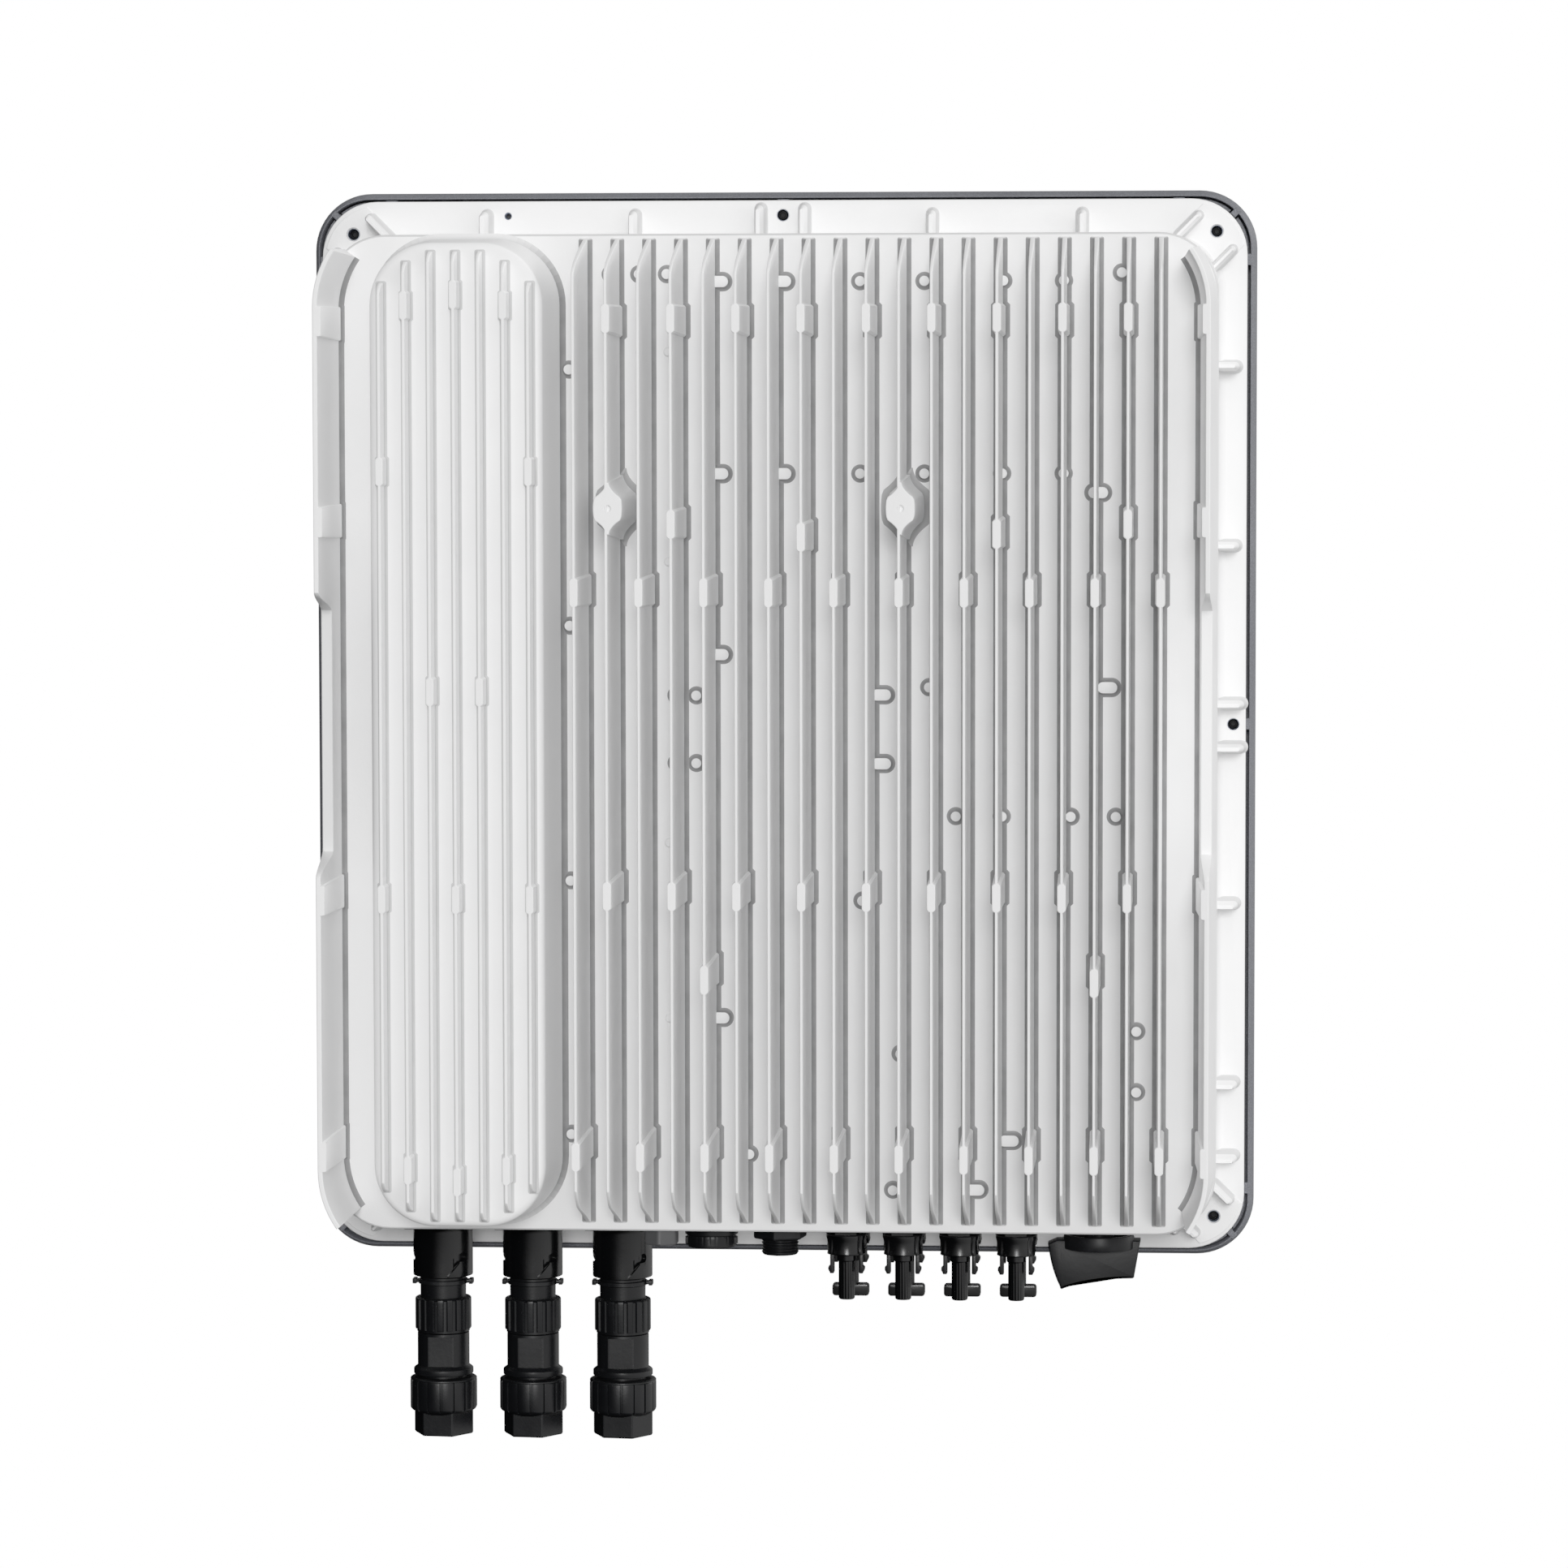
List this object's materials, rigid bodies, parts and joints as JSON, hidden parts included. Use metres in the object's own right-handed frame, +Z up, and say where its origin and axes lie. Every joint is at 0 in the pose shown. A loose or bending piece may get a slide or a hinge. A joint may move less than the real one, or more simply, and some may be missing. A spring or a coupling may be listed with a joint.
{
  "type": "string inverter",
  "caption": "Wall-hung solar string inverter with a finned cast rear housing, shallow front cover, bayonet AC connectors, PV sockets with dust plugs and a rotary DC switch.",
  "frame": {"origin": "midpoint between the two rear hanging bosses, on the plane of the fin tips (the wall side)", "axes": "+Z up, +Y towards the wall behind, -Y towards the person in front, X along the row of connectors"},
  "size_m": [0.5104, 0.234, 0.6683],
  "materials": {
    "cast_case": "light grey powder coat on die-cast aluminium",
    "cover_paint": "blue-grey textured powder coat on die-cast aluminium",
    "seal_rubber": "matt",
    "screw_steel": "zinc plated",
    "window": "smoked",
    "screen": "display module",
    "ferrite": "matt powder core",
    "copper": "enamelled wire",
    "module_black": "moulded",
    "pad_grey": "silicone pad",
    "board": "solder mask",
    "can_black": "sleeved can",
    "film_box": "moulded box",
    "relay_blue": "moulded",
    "tray_steel": "bright",
    "charcoal_plastic": "satin moulded",
    "black_nylon": "satin glass-filled nylon",
    "contact_plate": "silver plated",
    "vent_grey": "matt moulded"
  },
  "bodies": {
    "case": {"rear_housing": "cast_case", "front_cover": "cover_paint", "cover_gasket": "seal_rubber", "cover_screws": "screw_steel", "screw_caps": "seal_rubber", "display_window": "window", "display_panel": "screen", "choke_cores": "ferrite", "choke_windings": "copper", "choke_carrier": "module_black", "thermal_pads": "pad_grey", "power_modules": "module_black", "power_board": "board", "power_board_posts": "screw_steel", "dc_link_capacitors": "can_black", "film_capacitors": "film_box", "emi_chokes": "ferrite", "ac_relays": "relay_blue", "shield_tray": "tray_steel", "tray_posts": "screw_steel", "control_board": "board", "control_spacers": "screw_steel", "control_chips": "module_black", "dc_switch_body": "module_black", "dc_switch_seal": "seal_rubber", "ac_lock_nuts": "black_nylon", "ac_contact_pins": "contact_plate", "ac_gland_seals": "seal_rubber", "pv_sockets": "black_nylon", "pv_lock_nuts": "black_nylon", "vent_valve": "vent_grey", "data_port_cap": "black_nylon", "module_port": "black_nylon", "ac_socket_1": "black_nylon", "ac_plug_1": "black_nylon", "ac_gland_nut_1": "black_nylon", "ac_socket_2": "black_nylon", "ac_plug_2": "black_nylon", "ac_gland_nut_2": "black_nylon", "ac_socket_3": "black_nylon", "ac_plug_3": "black_nylon", "ac_gland_nut_3": "black_nylon"},
    "switch_knob": {"dc_switch_knob": "charcoal_plastic", "dc_switch_shaft": "screw_steel"},
    "locking_ring_1": {"ac_locking_ring_1": "black_nylon"},
    "locking_ring_2": {"ac_locking_ring_2": "black_nylon"},
    "locking_ring_3": {"ac_locking_ring_3": "black_nylon"},
    "dust_plug_1": {"pv_dust_plug_1": "black_nylon"},
    "dust_plug_2": {"pv_dust_plug_2": "black_nylon"},
    "dust_plug_3": {"pv_dust_plug_3": "black_nylon"},
    "dust_plug_4": {"pv_dust_plug_4": "black_nylon"},
    "dust_plug_5": {"pv_dust_plug_5": "black_nylon"},
    "dust_plug_6": {"pv_dust_plug_6": "black_nylon"},
    "dust_plug_7": {"pv_dust_plug_7": "black_nylon"},
    "dust_plug_8": {"pv_dust_plug_8": "black_nylon"}
  },
  "joints": [
    {"name": "dc_switch_turn", "type": "hinge", "parent": "case", "child": "switch_knob", "pos_m": [-0.1757, -0.11, -0.39], "axis": [0, 0, -1], "range_deg": [0, 90]},
    {"name": "ac_ring_turn_1", "type": "hinge", "parent": "case", "child": "locking_ring_1", "pos_m": [0.1766, -0.115, -0.43], "axis": [0, 0, 1], "range_deg": [0, 60]},
    {"name": "ac_ring_turn_2", "type": "hinge", "parent": "case", "child": "locking_ring_2", "pos_m": [0.1281, -0.115, -0.43], "axis": [0, 0, 1], "range_deg": [0, 60]},
    {"name": "ac_ring_turn_3", "type": "hinge", "parent": "case", "child": "locking_ring_3", "pos_m": [0.0796, -0.115, -0.43], "axis": [0, 0, 1], "range_deg": [0, 60]},
    {"name": "dust_plug_pull_1", "type": "slide", "parent": "case", "child": "dust_plug_1", "axis": [0, 0, -1], "range_m": [0, 0.03]},
    {"name": "dust_plug_pull_2", "type": "slide", "parent": "case", "child": "dust_plug_2", "axis": [0, 0, -1], "range_m": [0, 0.03]},
    {"name": "dust_plug_pull_3", "type": "slide", "parent": "case", "child": "dust_plug_3", "axis": [0, 0, -1], "range_m": [0, 0.03]},
    {"name": "dust_plug_pull_4", "type": "slide", "parent": "case", "child": "dust_plug_4", "axis": [0, 0, -1], "range_m": [0, 0.03]},
    {"name": "dust_plug_pull_5", "type": "slide", "parent": "case", "child": "dust_plug_5", "axis": [0, 0, -1], "range_m": [0, 0.03]},
    {"name": "dust_plug_pull_6", "type": "slide", "parent": "case", "child": "dust_plug_6", "axis": [0, 0, -1], "range_m": [0, 0.03]},
    {"name": "dust_plug_pull_7", "type": "slide", "parent": "case", "child": "dust_plug_7", "axis": [0, 0, -1], "range_m": [0, 0.03]},
    {"name": "dust_plug_pull_8", "type": "slide", "parent": "case", "child": "dust_plug_8", "axis": [0, 0, -1], "range_m": [0, 0.03]}
  ]
}
